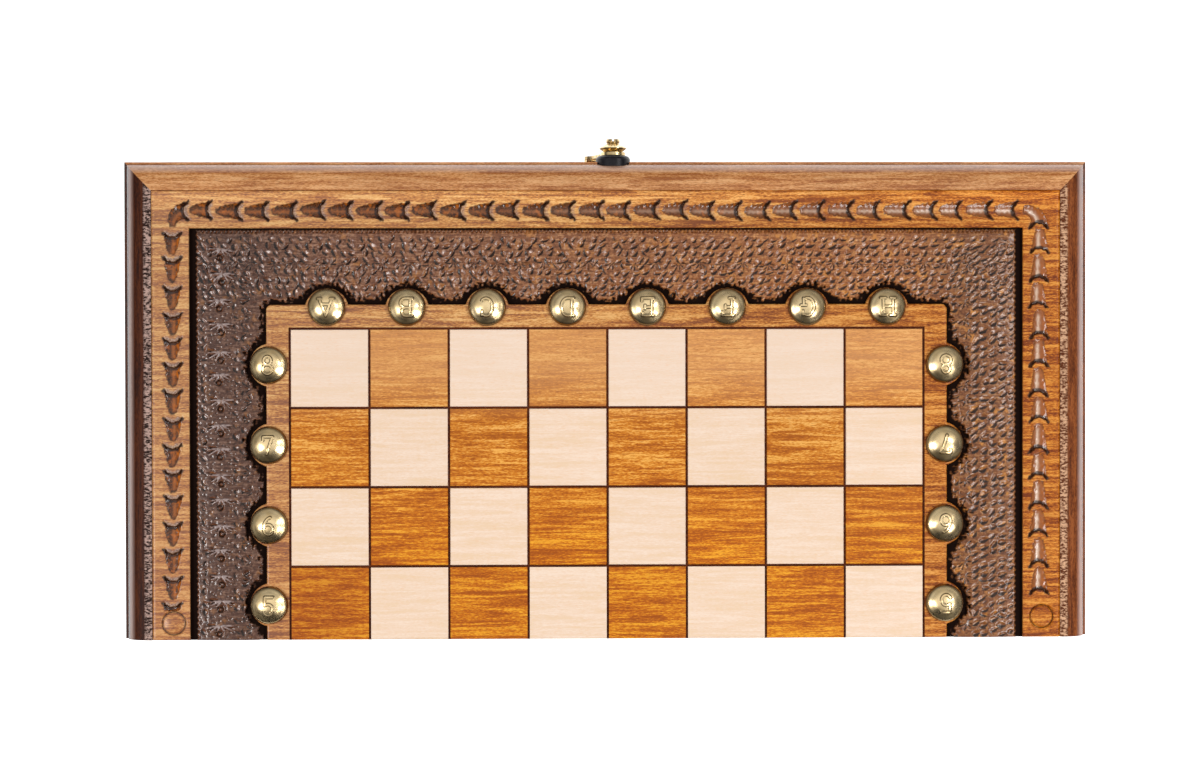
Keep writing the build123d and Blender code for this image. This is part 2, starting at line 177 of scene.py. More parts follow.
def grid_object(name, x, y, h, half, values=None, sharp=50):
    """Height field on a grid of points, facing up, or down on the lower half."""
    faces = grid_faces(*x.shape)
    if half == "lower":
        faces = faces[:, ::-1]
    return mesh_object(name, to_row(x, y, h, half), faces, values, sharp)


def finished(piece, half, material, node):
    """Material, body, slot and the node that a new piece of one half stands for."""
    piece.data.materials.append(material)
    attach(piece, f"{half}_case")
    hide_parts(f"{half}_{node}")


# Outlines and profiles

def smooth(value, low, high):
    """0 below low, 1 above high, smooth in between."""
    t = np.clip((value - low) / (high - low), 0, 1)
    return t * t * (3 - 2 * t)


def rounding(inside, radius):
    """Drop of a rounded edge, where inside is the distance from the edge."""
    t = np.clip(1 - inside / radius, 0, 1)
    return radius * (1 - np.sqrt(1 - t * t))


def outline_distance(x, y, corner):
    """Signed distance to the plaque's outline without its lobes."""
    qx = np.abs(x) - (plaque_half - corner)
    qy = y - (plaque_front - corner)
    outside = np.hypot(np.maximum(qx, 0), np.maximum(qy, 0))
    return outside + np.minimum(np.maximum(qx, qy), 0) - corner


def lobe_distance(x, y):
    return np.min([np.hypot(x - cx, y - cy) for cx, cy in lobe_places], axis=0) - LOBE_RADIUS


def plaque_distance(x, y):
    """Signed distance to the plaque's edge, below zero on the plaque."""
    return np.minimum(outline_distance(x, y, PLAQUE_CORNER), lobe_distance(x, y))


def soft_plaque_distance(x, y, softness=2.4):
    """Like plaque_distance, but filled out where the lobes meet the straight edges."""
    nearer = np.exp(-plaque_distance(x, y) / softness)
    other = np.maximum(outline_distance(x, y, 0), lobe_distance(x, y))
    return -softness * np.log(nearer + np.exp(-other / softness))


def gather(x, y, rings=0.75, width=0.8):
    """Moves grid points towards the plaque's edge, so that the edge comes out clean."""
    step = 0.05
    d = plaque_distance(x, y)
    gx = (plaque_distance(x + step, y) - plaque_distance(x - step, y)) / (2 * step)
    gy = (plaque_distance(x, y + step) - plaque_distance(x, y - step)) / (2 * step)
    pull = d * rings * np.exp(-((d / width) ** 2))
    held = smooth(y, 0, 2.0)
    return x - gx * pull * held, y - gy * pull * held


def wobble(x, y, size, seed):
    """Smooth random waves of about one size, mostly between -1 and 1."""
    rng = np.random.default_rng(seed)
    total = np.zeros(np.shape(x))
    for _ in range(6):
        angle, phase = rng.uniform(0, 2 * math.pi, 2)
        rate = 2 * math.pi / (size * rng.uniform(0.7, 1.4))
        total += np.sin(rate * (x * math.cos(angle) + y * math.sin(angle)) + phase)
    return total / 3


# Carved marks of the field

def chip(x, y, length, width, angle, depth):
    """Cut with two walls. Its angle, in degrees, points from the bright one, which faces a lamp, to
    the dark one, which is given painted shade.
    """
    return (x, y, length, width, math.radians(angle), depth, True, 0.0)


def dent(x, y, length, width, angle, depth, ring=0.0):
    """Rounded dent, or a raised rib where depth is below zero, or a ring of that radius."""
    return (x, y, length, width, math.radians(angle), depth, False, ring)


def away(x, y, angle, reach):
    """Place at some reach in a direction given in degrees."""
    turn = math.radians(angle)
    return x + math.cos(turn) * reach, y + math.sin(turn) * reach


def fanner(rng, facing, rays, spread, size):
    """Maker of fans of narrow chips that spread from one point."""
    def make(x, y):
        made = []
        for k in range(rays):
            angle = facing + (2 * k / (rays - 1) - 1) * spread + rng.normal(0, 5)
            reach = size * rng.uniform(0.8, 1.15)
            place = away(x, y, angle, reach * 0.62)
            made.append(chip(*place, 1.7, reach * 1.2, angle + 90, rng.uniform(0.4, 0.6)))
        return made
    return make


def palm_maker(rng):
    """Maker of ribs that hang from one point, cut free from each other, over an eyelet."""
    def make(x, y):
        made = []
        for angle in (-172, -150, -122, -58, -30, -8):
            turn = angle + rng.normal(0, 5)
            reach = (6.6 if abs(angle + 90) > 50 else 4.6) * rng.uniform(0.85, 1.1)
            made.append(dent(*away(x, y, turn, reach / 2), reach, 1.0, turn, -0.6))
            made.append(chip(*away(x, y, turn - 12, reach * 0.6), 1.4, reach, turn + 78, 0.6))
        return made + [dent(x + rng.normal(0, 0.4), y - 4.8, 1.1, 1.1, 0, 0.8, ring=1.3)]
    return make


def chipper(rng, across, size, lean=0, wander=11):
    """Maker of slanted chips that mirror a lamp; towards the left more of them face left."""
    def make(x, y):
        turn, fall = -47 - 0.093 * x, 0.455 - 0.0006 * x
        if rng.uniform(-1, 1) > x / 150 + 0.6:
            turn, fall = -155 - 0.05 * x, 0.445 + 0.0007 * x
        wide = across * rng.uniform(0.8, 1.3)
        deep = wide * fall * 0.42 * rng.uniform(0.85, 1.15)
        turn += lean + rng.normal(0, wander)
        made = [chip(x, y, wide, size * rng.uniform(0.8, 1.2), turn, deep)]
        if rng.uniform() < 0.65:
            place = away(x, y, turn, -wide * rng.uniform(0.35, 0.65))
            made.append(dent(*place, size * rng.uniform(0.5, 0.9), rng.uniform(0.5, 0.9),
                             turn + 90 + rng.normal(0, 14), -0.3))
        return made
    return make


def dents(rng, x0, x1, y0, y1, gap, size, depth):
    """Small dents, scattered but evenly spaced."""
    made = []
    for x in np.arange(x0 + gap / 2, x1, gap):
        for y in np.arange(y0 + gap / 2, y1, gap):
            place = [v + rng.uniform(-0.42, 0.42) * gap for v in (x, y)]
            long = size * rng.uniform(0.8, 1.7)
            made.append(dent(*place, long, size, rng.uniform(0, 180), depth * rng.uniform(0.4, 1.1)))
    return made


def row(rng, start, end, spacing, make, x=None, y=None, wander=0.45):
    """Marks along a line of one x or one y, each slightly off its place."""
    made = []
    for run in np.arange(start, end, spacing):
        run += rng.normal(0, wander)
        place = [run if v is None else v for v in (x, y)]
        made += make(*(v + rng.normal(0, wander) for v in place))
    return made


# Rows along the front: distance from the band, spacing, width and length of a chip, and lean
FRONT_ROWS = (
    (6.1, 5.2, 2.3, 4.2, 0), (9.4, 5.4, 3.1, 5.2, -6), (13.0, 5.0, 2.9, 4.8, 8),
    (16.6, 5.2, 2.8, 4.6, 0), (23.0, 5.0, 2.8, 4.6, -8), (26.7, 4.7, 3.0, 4.8, 6),
    (30.4, 4.5, 2.8, 4.6, 0), (34.0, 4.3, 2.4, 4.0, -6),
)
# Columns at the right: distance from the plaque, spacing, width and length of a chip, and lean
RIGHT_COLUMNS = (
    (4.4, 4.4, 2.8, 4.2, 0), (14.6, 4.4, 3.1, 5.4, 10), (19.3, 4.5, 3.2, 5.4, -8),
    (24.1, 4.4, 3.1, 5.4, 6), (28.9, 4.3, 3.0, 5.2, -8), (33.4, 4.0, 2.4, 3.8, 0),
)


def field_marks(half):
    """Every cut of one half's field."""
    rng = np.random.default_rng(11 if half == "upper" else 29)

    x0, x1 = -field_half + 5, field_half - 5
    made = row(rng, x0, x1, 2.1, lambda x, y: [dent(x, y, 1.7, 1.5, 90, 0.85)],
               y=field_front - 1.9, wander=0.1)
    for k, (distance, spacing, *size) in enumerate(FRONT_ROWS):
        made += row(rng, x0 + k % 2 * spacing / 2, x1, spacing, chipper(rng, *size),
                    y=field_front - distance)
    made += row(rng, x0 + 3, x1, 11.6, fanner(rng, -90, 5, 80, 3.8), y=field_front - 18)
    made += row(rng, x0 + 8.8, x1, 11.6, chipper(rng, 2.6, 4.2), y=field_front - 20)

    x_palm, y1 = -(plaque_half + 23.2), field_front - 9
    made += row(rng, 8, y1, 12.9, palm_maker(rng), x=x_palm)
    for shift, spacing in ((-8.6, 5.2), (7.8, 5.6), (11.8, 6.1)):
        made += row(rng, 4, y1, spacing, chipper(rng, 2.5, 3.8, 0, 25), x=x_palm + shift)
    made += row(rng, 5, y1, 9.0, fanner(rng, 160, 4, 50, 3.4), x=x_palm + 15.5)

    y1 = field_front - 8
    made += row(rng, 6, y1, 8.4, fanner(rng, -60, 5, 95, 3.6), x=plaque_half + 9.6)
    for k, (distance, spacing, *size) in enumerate(RIGHT_COLUMNS):
        made += row(rng, 2 + k % 2 * spacing / 2, y1, spacing, chipper(rng, *size),
                    x=plaque_half + distance)

    side, inner = field_half - SIDE_GROOVE, plaque_half - 4
    made += dents(rng, -side, -inner, 0, field_front, 2.7, 1.4, 0.3)
    made += dents(rng, inner, side, 0, field_front, 3.4, 1.3, 0.15)
    made += dents(rng, inner - 1, inner + 12, 0, plaque_front, 2.6, 1.4, 0.4)
    made += dents(rng, -inner, inner, plaque_front, field_front, 3.2, 1.3, 0.2)
    return made


def stamped(xs, ys, marks):
    """Depth of the deepest cut at each grid point, its painted shade, and height of the highest rib.
    """
    deep, shade, high = np.zeros((3, len(ys), len(xs)))
    for x, y, length, width, angle, depth, sloped, ring in marks:
        reach = max(length, width) / 2 + ring
        i0, i1 = np.searchsorted(xs, (x - reach, x + reach))
        j0, j1 = np.searchsorted(ys, (y - reach, y + reach))
        if i0 >= i1 or j0 >= j1:
            continue
        dx = xs[None, i0:i1] - x
        dy = ys[j0:j1, None] - y
        s = (dx * math.cos(angle) + dy * math.sin(angle)) / (length / 2)
        t = (dy * math.cos(angle) - dx * math.sin(angle)) / (width / 2)
        # dark: painted shade on a chip's far wall, and in the middle of a dent or ring.
        if ring:
            level = 1 - ((np.hypot(dx, dy) - ring) / (width / 2)) ** 2
            dark = level
        elif sloped:
            taper = 1 - np.where(t < 0, t**4, np.abs(t) ** 1.5)
            level = np.minimum((taper + s) / 1.1, (taper - s) / 0.9)
            level[(np.abs(s) > 1) | (np.abs(t) > 1)] = 0
            dark = smooth(s - 0.1 * taper, -0.1, 0.15)
        else:
            level = 1 - s * s - t * t
            dark = 0.5 * level
        view = (deep if depth > 0 else high)[j0:j1, i0:i1]
        new = abs(depth) * level
        over = new > view
        view[over] = new[over]
        if depth > 0:
            shade[j0:j1, i0:i1][over] = dark[over]
    return deep, shade, high


# Leaf chain on the band

CHAIN_LEFT = -223.7
CHAIN_RIGHT = 223.4
CHAIN_TOP = 221.3
CHAIN_TURN = 7.0
LEAF_LENGTH = 14.2
LEAF_BODY = 10.3
LEAF_DEPTH = 1.7
GOUGE = 6.2
CRESCENT = 4.7
CHAIN_SIDE = CHAIN_TOP - CHAIN_TURN
CHAIN_ARC = CHAIN_TURN * math.pi / 2
TOP_RUN = CHAIN_SIDE + CHAIN_ARC
RIGHT_RUN = TOP_RUN + CHAIN_RIGHT - CHAIN_LEFT - 2 * CHAIN_TURN


def chain_place(x, y):
    """Run along the chain's line, and distance to its left, for every point."""
    past_left, past_right = CHAIN_LEFT + CHAIN_TURN - x, x - CHAIN_RIGHT + CHAIN_TURN
    up = y - CHAIN_SIDE
    left, right, high = past_left > 0, past_right > 0, up > 0
    where = [left & ~high, left, right & ~high, right, high]
    run = np.select(where, [
        y, CHAIN_SIDE + CHAIN_TURN * np.arctan2(up, past_left), RIGHT_RUN + CHAIN_ARC - up,
        RIGHT_RUN + CHAIN_TURN * np.arctan2(past_right, up), TOP_RUN - past_left,
    ], -99.0)
    off = np.select(where, [
        past_left, np.hypot(up, past_left), past_right, np.hypot(up, past_right), up,
    ], 99.0)
    return run, off - CHAIN_TURN


def chain_ends(rng):
    """Runs at which each leaf's wide end lies. The first one has no body."""
    def leaves(start, end, count):
        return np.linspace(start, end, count) + rng.normal(0, 0.5, count)

    side_run = RIGHT_RUN + CHAIN_ARC
    return np.r_[
        leaves(17.3, 207.4, 15), TOP_RUN - 1.7, leaves(TOP_RUN + 11.7, TOP_RUN + 427.4, 30),
        side_run - 0.4, leaves(side_run + 12.7, side_run + 189.0, 13),
    ]


def leaf_profile(along, off, scale, blunt, early):
    """Depth, stain, painted shade at the cut, wear, and streak of painted highlight of one leaf: a
    scoop up to a curved stab cut.
    """
    s = along / scale
    t = np.abs(off)
    share = np.clip((s + early) / (LEAF_BODY + early), 0, 1)
    middle = (blunt + (LEAF_DEPTH - blunt) * share) * smooth(s + early, -0.3, 1.0)
    scoop = np.sqrt(np.maximum(GOUGE**2 - t**2, 0)) - GOUGE + middle
    ahead = np.hypot(s - LEAF_BODY - CRESCENT, t) - CRESCENT
    deep = np.where((ahead > 0) & (scoop > 0), scoop, 0)
    reach = smooth(s, LEAF_BODY + 4.4, LEAF_BODY + 1.2)
    wall = (LEAF_DEPTH + 0.1) * np.clip(1 + ahead / 0.4, 0, 1) * (ahead <= 0)
    far = LEAF_DEPTH * np.clip(1 - ahead / 0.75, 0, 1) * (ahead > 0)
    near_stab = s > LEAF_BODY - 1.5
    whole = np.maximum(deep, (wall + far) * reach * near_stab)
    shown = np.clip(reach * 1.6, 0, 1) * near_stab
    # Painted shade at the stab cut's wall and foot, and along a thin rim round the scoop; before the
    # stab, a crescent of bared wood.
    dark = np.exp(-(((ahead - 0.35) / 1.0) ** 2)) * shown
    worn = np.exp(-(((ahead + 1.3) / 0.95) ** 2)) * shown
    rim = smooth(deep, 0.0, 0.08) * smooth(deep, 0.42, 0.16)
    stain = smooth(deep, 0.03, 0.22)
    # Painted highlight: a pale streak down the scoop, left of its middle.
    painted_highlight = np.exp(-(((off + 0.5) / 0.85) ** 2)) * smooth(s, 0.5, 3.0) * (deep > 0)
    return whole, stain, np.maximum(smooth(dark, 0.15, 0.65), 0.55 * rim), worn, painted_highlight


def chain(x, y):
    """Depth, leaf stain, painted shade at the cuts, wear, and streaks of painted highlight of the
    whole chain.
    """
    rng = np.random.default_rng(5)
    ends = chain_ends(rng)
    run, off = chain_place(x, y)
    run = run + 0.28 * wobble(x, y, 2.6, 51)
    off = off + 0.26 * wobble(x, y, 2.3, 52)
    lean = rng.normal(0, 0.25, len(ends))
    whole = [np.zeros(x.shape) for _ in range(5)]
    before = np.r_[ends[0], ends[:-1]]
    for end, last, shift in zip(ends, before, lean):
        scale = np.clip((end - last) / LEAF_LENGTH, 0.9, 1.1)
        early = np.clip((end - 640) / 60, 0, 1) * 0.9
        body = (LEAF_BODY + early) * scale if end > last else 1.5
        near = (run > end - body) & (run < end + 5) & (np.abs(off) < 7)
        if not near.any():
            continue
        along = run[near] - (end - LEAF_BODY * scale)
        blunt = 0.12 + 0.2 * np.clip((end - 220) / 300, 0, 1) + 0.12 * early
        parts = leaf_profile(along, off[near] - shift, scale, blunt, early)
        for sheet, part in zip(whole, parts):
            sheet[near] = np.maximum(sheet[near], part)
    return whole


# Rings at the hinge end of the bands

RINGS = ((-223.6, 8.8, True), (224.9, 10.8, False))
RING_RADIUS = 5.9
RING_WIDTH = 1.25
RING_DEPTH = 1.15


def ring_depth(x, y):
    deep = np.zeros(x.shape)
    for cx, cy, domed in RINGS:
        r = np.hypot(x - cx, y - cy)
        groove = RING_DEPTH * np.clip(1 - np.abs(r - RING_RADIUS) / (RING_WIDTH / 2), 0, 1) ** 0.7
        deep = np.maximum(deep, groove)
        if domed:
            dome = 0.9 * np.clip(r / RING_RADIUS, 0, 1) ** 2.6
            deep = np.where(r < RING_RADIUS, np.maximum(deep, dome), deep)
    return deep


# Border relief

def tooth(run, spacing):
    """Triangle wave from 0 to 1."""
    return np.abs((run / spacing) % 1 - 0.5) * 2


def slope(h, run, axis):
    """Steepness of a height field along one axis of its grid."""
    steps = np.gradient(run, axis=axis)
    return np.gradient(h, axis=axis) / np.maximum(steps, 0.02)


def relief(xs, ys, half):
    """Grid of points with height and colour layers over part of the border, several of them painted
    light and shade.
    """
    marks, shade, ribs = stamped(xs, ys, field_marks(half))
    x, y = gather(*np.meshgrid(xs, ys))
    ax = np.abs(x)
    edge = plaque_distance(x, y)
    to_side = field_half - ax
    to_front = field_front - y
    in_field = (to_side > 0) & (to_front > 0) & (edge > 0)
    band_inside = np.maximum(-to_side, -to_front)
    on_band = band_inside > 0

    leaf_deep, leaf, leaf_cut, worn, streak = chain(x, y)
    ring = ring_depth(x, y)
    outer = np.minimum(panel_half - ax, panel_front - y)
    flat = -rounding(outer, PANEL_EDGE) - rounding(np.where(on_band, band_inside, 9), 0.3)
    flat -= np.maximum(leaf_deep, ring) * on_band
    plaque = -rounding(-edge, 0.9)

    side_edge = SIDE_GROOVE - 0.75 * tooth(y, 2.9) + 0.2 * tooth(y, 1.3)
    front_edge = FRONT_GROOVE - 0.2 + 0.5 * tooth(x, 1.9)
    bites = 1.1 * wobble(x, y, 3.4, 61) + 0.7 * wobble(x, y, 1.9, 62)
    plaque_edge = np.maximum(PLAQUE_GROOVE - 0.1 + bites, 0.9)
    ragged = soft_plaque_distance(x, y) - plaque_edge
    wall = np.minimum(np.minimum(to_side - side_edge, to_front - front_edge), ragged)
    run_side = (ax - plaque_half) / (FIELD - SIDE_GROOVE)
    run_front = (y - plaque_front) / (FIELD - FRONT_GROOVE)
    share = np.clip(np.maximum(run_side, run_front), 0, 1)
    crown = -BOLSTER_CROWN - (BOLSTER_EDGE - BOLSTER_CROWN) * (2 * share - 1) ** 2
    flush = ribs < 0.1
    carved = np.minimum(crown - 1.3 * marks * flush + ribs, -0.05)
    rise = smooth(wall, -0.1, 0.55)
    field = np.maximum(carved * rise - FIELD_DEPTH * (1 - rise), -FIELD_DEPTH)

    h = np.where(in_field, field, np.where(edge <= 0, plaque, flat))
    h = h - rounding(y, HINGE_EDGE) * ~in_field
    # Painted light: slopes that face the left lamp are coloured orange through the glow layer.
    facing = 0.66 * slope(h, x, 1) + 0.35 * slope(h, y, 0)
    return x, y, h, {
        "stain": in_field * 1.0,
        "groove": np.where(in_field, 1 - smooth(wall, -0.2, 0.7), 0),
        "leaf": leaf,
        # Painted shade: on the chips' far walls and in dents of the field, at the leaves' stab cuts
        # and scoop rims, and down in the rings' grooves.
        "cut": np.where(in_field, shade * flush, np.maximum(leaf_cut, smooth(ring, 0.5, 1.0))),
        # In the field, pale ribs painted as highlights; on the band, wear before the leaves' stab
        # cuts.
        "worn": np.where(in_field, smooth(ribs, 0.05, 0.35), worn),
        "glow": smooth(facing, 0.06, 0.45),
        # Painted highlight streaks down the leaves' scoops.
        "streak": np.where(in_field, 0, streak),
    }


def spaced(start, end, breaks=(), clusters=()):
    """Evenly spaced lines with a pair at each break and extra lines beside an edge."""
    lines = [np.linspace(start, end, int(math.ceil((end - start) / FINE)) + 1)]
    for value in breaks:
        lines.append(np.array([value - 0.002, value + 0.002]))
    for value, way in clusters:
        lines.append(value + way * np.array([0.0, 0.1, 0.25, 0.5, 0.8, 1.2]))
    whole = np.unique(np.round(np.concatenate(lines), 4))
    whole = whole[(whole > start + 0.001) & (whole < end - 0.001)]
    return np.r_[start, whole, end]


def skirted(x, y, h, values):
    """Adds a row or column on each side that drops to the board's core."""
    def pad(a):
        return np.pad(a, 1, mode="edge")

    low = np.full_like(pad(h), -SKIRT)
    low[1:-1, 1:-1] = h
    return pad(x), pad(y), low, {key: pad(a) for key, a in values.items()}


def border_pieces(half):
    """The carved border in four pieces, each with fewer than 200,000 triangles."""
    whole_y = spaced(0, panel_front, [field_front], [(0, 1), (panel_front, -1)])
    front_y = spaced(bed_front, panel_front, [field_front], [(panel_front, -1)])
    grids = {
        "left": (spaced(-panel_half, -bed_half, [-field_half], [(-panel_half, 1)]), whole_y),
        "right": (spaced(bed_half, panel_half, [field_half], [(panel_half, -1)]), whole_y),
        "front_left": (spaced(-bed_half, 0), front_y),
        "front_right": (spaced(0, bed_half), front_y),
    }
    for word, (xs, ys) in grids.items():
        x, y, h, values = skirted(*relief(xs, ys, half))
        yield grid_object(f"{half}_carved_{word}", x, y, h, half, values, 62)


def doubled(edges, gap=0.01):
    """Each edge twice, a hair apart, so that heights can step between them."""
    return np.sort(np.r_[edges - gap, edges + gap])


def square_bed(half):
    """Grooves round the squares and the pockets that the squares sit in."""
    side = pitch - LINE_WIDTH
    lefts = -grid_half + LINE_WIDTH / 2 + pitch * np.arange(COLUMNS)
    tops = grid_front - LINE_WIDTH / 2 - pitch * np.arange(ROWS)
    xs = np.r_[-bed_half, doubled(np.r_[lefts, lefts + side]), bed_half]
    ys = np.r_[0, doubled(np.r_[tops, tops[:-1] - side]), bed_front]
    x, y = np.meshgrid(xs, ys)
    in_x = ((x[..., None] > lefts) & (x[..., None] < lefts + side)).any(-1)
    in_y = ((y[..., None] > tops - side) & (y[..., None] < tops)).any(-1)
    h = np.where(in_x & in_y, -TILE_DEPTH, -LINE_DEPTH)
    return grid_object(f"{half}_square_bed", *skirted(x, y, h, {})[:3], half, sharp=40)


def tongue():
    """Outline of the tongue round three sides of the board, and its lower and upper height."""
    panel = [v.co for v in nodes["upper_face_panel"].data.vertices]
    reach = max(mm_x(c.x) for c in panel)
    front = max(mm_y(c.y) for c in panel)
    heights = [mm_h(c.z) for c in panel if abs(mm_x(c.x)) > (panel_half + reach) / 2]
    loop = [
        (-reach, 0), (-reach, front), (reach, front), (reach, 0), (panel_half, 0),
        (panel_half, panel_front), (-panel_half, panel_front), (-panel_half, 0),
    ]
    return loop, min(heights), max(heights)


def point_outlines(gap):
    """Pockets for the inlaid points, read from the corners of the points themselves."""
    corners = {
        (round(mm_x(v.co.x), 2), round(mm_y(v.co.y), 2))
        for name in ("upper_light_points", "upper_dark_points")
        for v in nodes[name].data.vertices if abs(v.co.z - points_low.z) < 1e-5
    }
    base = max(x for x, y in corners)
    tip = min(x for x, y in corners if x > 0)
    bases, tips = (sorted(y for x, y in corners if x == end) for end in (base, tip))
    for side in (-1, 1):
        for i in range(0, len(bases), 2):
            yield [
                (side * (base + gap), bases[i] - gap), (side * (base + gap), bases[i + 1] + gap),
                (side * (tip - gap), tips[i + 1] + gap), (side * (tip - gap), tips[i] - gap),
            ]


def core(half):
    """Board below the carving: sides, tongue, and a back with a pocket for each point."""
    verts, polys = [], []

    def face(corners):
        polys.append(list(range(len(verts), len(verts) + len(corners))))
        verts.extend(to_row(*zip(*corners), half).tolist())

    def walls(loop, low, high):
        for a, b in zip(loop, loop[1:] + loop[:1]):
            face([(*a, low), (*b, low), (*b, high), (*a, high)])

    gap = 0.05
    rim = [(-panel_half, 0), (panel_half, 0), (panel_half, panel_front), (-panel_half, panel_front)]
    outlines = list(point_outlines(gap))
    flat = [Vector(c) for loop in (rim, *outlines) for c in loop]
    loops = [list(range(start, start + 4)) for start in range(0, len(flat), 4)]
    points, _, parts, _, _, origins = geometry.delaunay_2d_cdt(flat, [], loops, 1, 1e-4)
    depth = mm_h(points_high.z) + gap
    for part, origin in zip(parts, origins):
        h = depth if any(origin) else panel_back
        face([(*points[k], h) for k in part])
    walls(rim, panel_back, -SKIRT)
    for outline in outlines:
        walls(outline, panel_back, depth)
    loop, *heights = tongue()
    walls(loop, *heights)
    for h in heights:
        face([(*c, h) for c in loop])
    mesh = bpy.data.meshes.new(f"{half}_board_core")
    mesh.from_pydata(verts, [], polys)
    bm = bmesh.new()
    bm.from_mesh(mesh)
    bmesh.ops.remove_doubles(bm, verts=bm.verts, dist=1e-6)
    bmesh.ops.recalc_face_normals(bm, faces=bm.faces)
    bm.to_mesh(mesh)
    bm.free()
    return new_object(mesh.name, mesh)


# Letters and numbers on the studs: lines from point to point, and arcs, on a field 1 high

def arc(cx, cy, rx, ry, start, end, steps=14):
    angles = np.radians(np.linspace(start, end, steps))
    return np.c_[cx + rx * np.cos(angles), cy + ry * np.sin(angles)]


GLYPHS = {
    "A": [(-0.34, 0, 0, 1, 0.34, 0), (-0.22, 0.34, 0.22, 0.34), (-0.42, 0, -0.26, 0),
          (0.26, 0, 0.42, 0)],
    "B": [(-0.22, 0, -0.22, 1), (-0.32, 1, 0.02, 1), (-0.32, 0, 0.05, 0),
          (-0.22, 0.53, 0.04, 0.53), arc(0.02, 0.765, 0.22, 0.235, 90, -90),
          arc(0.05, 0.265, 0.26, 0.265, 90, -90)],
    "C": [arc(0.04, 0.5, 0.34, 0.5, 50, 310), (0.27, 0.98, 0.27, 0.74)],
    "D": [(-0.24, 0, -0.24, 1), (-0.34, 1, -0.02, 1), (-0.34, 0, -0.02, 0),
          arc(-0.02, 0.5, 0.34, 0.5, 90, -90)],
    "E": [(-0.22, 0, -0.22, 1), (-0.32, 1, 0.28, 1, 0.28, 0.84), (-0.32, 0, 0.3, 0, 0.3, 0.17),
          (-0.22, 0.52, 0.14, 0.52), (0.14, 0.42, 0.14, 0.62)],
    "F": [(-0.2, 0, -0.2, 1), (-0.3, 1, 0.3, 1, 0.3, 0.82), (-0.2, 0.52, 0.14, 0.52),
          (0.14, 0.42, 0.14, 0.62), (-0.33, 0, -0.07, 0)],
    "G": [arc(0.02, 0.5, 0.34, 0.5, 52, 300), (0.26, 0.97, 0.26, 0.76),
          (0.24, 0.03, 0.24, 0.42), (0.11, 0.42, 0.37, 0.42)],
    "H": [(-0.26, 0, -0.26, 1), (0.26, 0, 0.26, 1), (-0.26, 0.5, 0.26, 0.5),
          (-0.39, 0, -0.13, 0), (-0.39, 1, -0.13, 1), (0.13, 0, 0.39, 0), (0.13, 1, 0.39, 1)],
    "1": [(-0.16, 0.8, 0.04, 1, 0.04, 0), (-0.14, 0, 0.22, 0)],
    "2": [arc(0, 0.72, 0.27, 0.28, 170, -30), (0.23, 0.58, -0.28, 0),
          (-0.28, 0, 0.28, 0, 0.28, 0.14)],
    "3": [arc(0, 0.76, 0.24, 0.24, 160, -90), arc(0, 0.27, 0.28, 0.27, 90, -160)],
    "4": [(0.12, 0, 0.12, 1, -0.3, 0.3, 0.3, 0.3), (-0.01, 0, 0.25, 0)],
    "5": [(0.26, 1, -0.2, 1, -0.22, 0.55), arc(-0.01, 0.3, 0.28, 0.3, 130, -150)],
    "6": [arc(0.02, 0.29, 0.27, 0.29, 0, 360, 24), arc(0.26, 0.3, 0.52, 0.7, 105, 180)],
    "7": [(-0.27, 0.82, -0.27, 1, 0.28, 1, -0.06, 0)],
    "8": [arc(0, 0.76, 0.22, 0.24, 0, 360, 22), arc(0, 0.27, 0.28, 0.27, 0, 360, 24)],
}
GLYPH_HEIGHT = 8.8
LETTER_WIDEN = 1.1
GLYPH_STROKE = 0.68
GLYPH_RAISE = 0.3
STUD_CROWN = 13.0
STUD_SHOULDER = 3.2


def stroke_distance(x, y, strokes):
    """Distance from each point to the nearest stroke."""
    best = np.full(x.shape, 9.0)
    for stroke in strokes:
        for (ax, ay), (bx, by) in zip(stroke[:-1], stroke[1:]):
            ux, uy = bx - ax, by - ay
            along = np.clip(((x - ax) * ux + (y - ay) * uy) / (ux * ux + uy * uy + 1e-9), 0, 1)
            best = np.minimum(best, np.hypot(x - ax - along * ux, y - ay - along * uy))
    return best


def dome(radius):
    """Height of the stud's dome at a distance from its axis."""
    centres = STUD_CROWN - STUD_SHOULDER
    run = stud_radius - STUD_SHOULDER
    rise = math.sqrt(centres**2 - run**2)
    touch = run * STUD_CROWN / centres
    r = np.clip(radius, 0, stud_radius)
    broad = stud_height - STUD_CROWN + np.sqrt(STUD_CROWN**2 - np.minimum(r, touch) ** 2)
    inner = np.clip(STUD_SHOULDER**2 - np.maximum(r - run, 0) ** 2, 0, None)
    return np.where(r < touch, broad, stud_height - STUD_CROWN + rise + np.sqrt(inner))


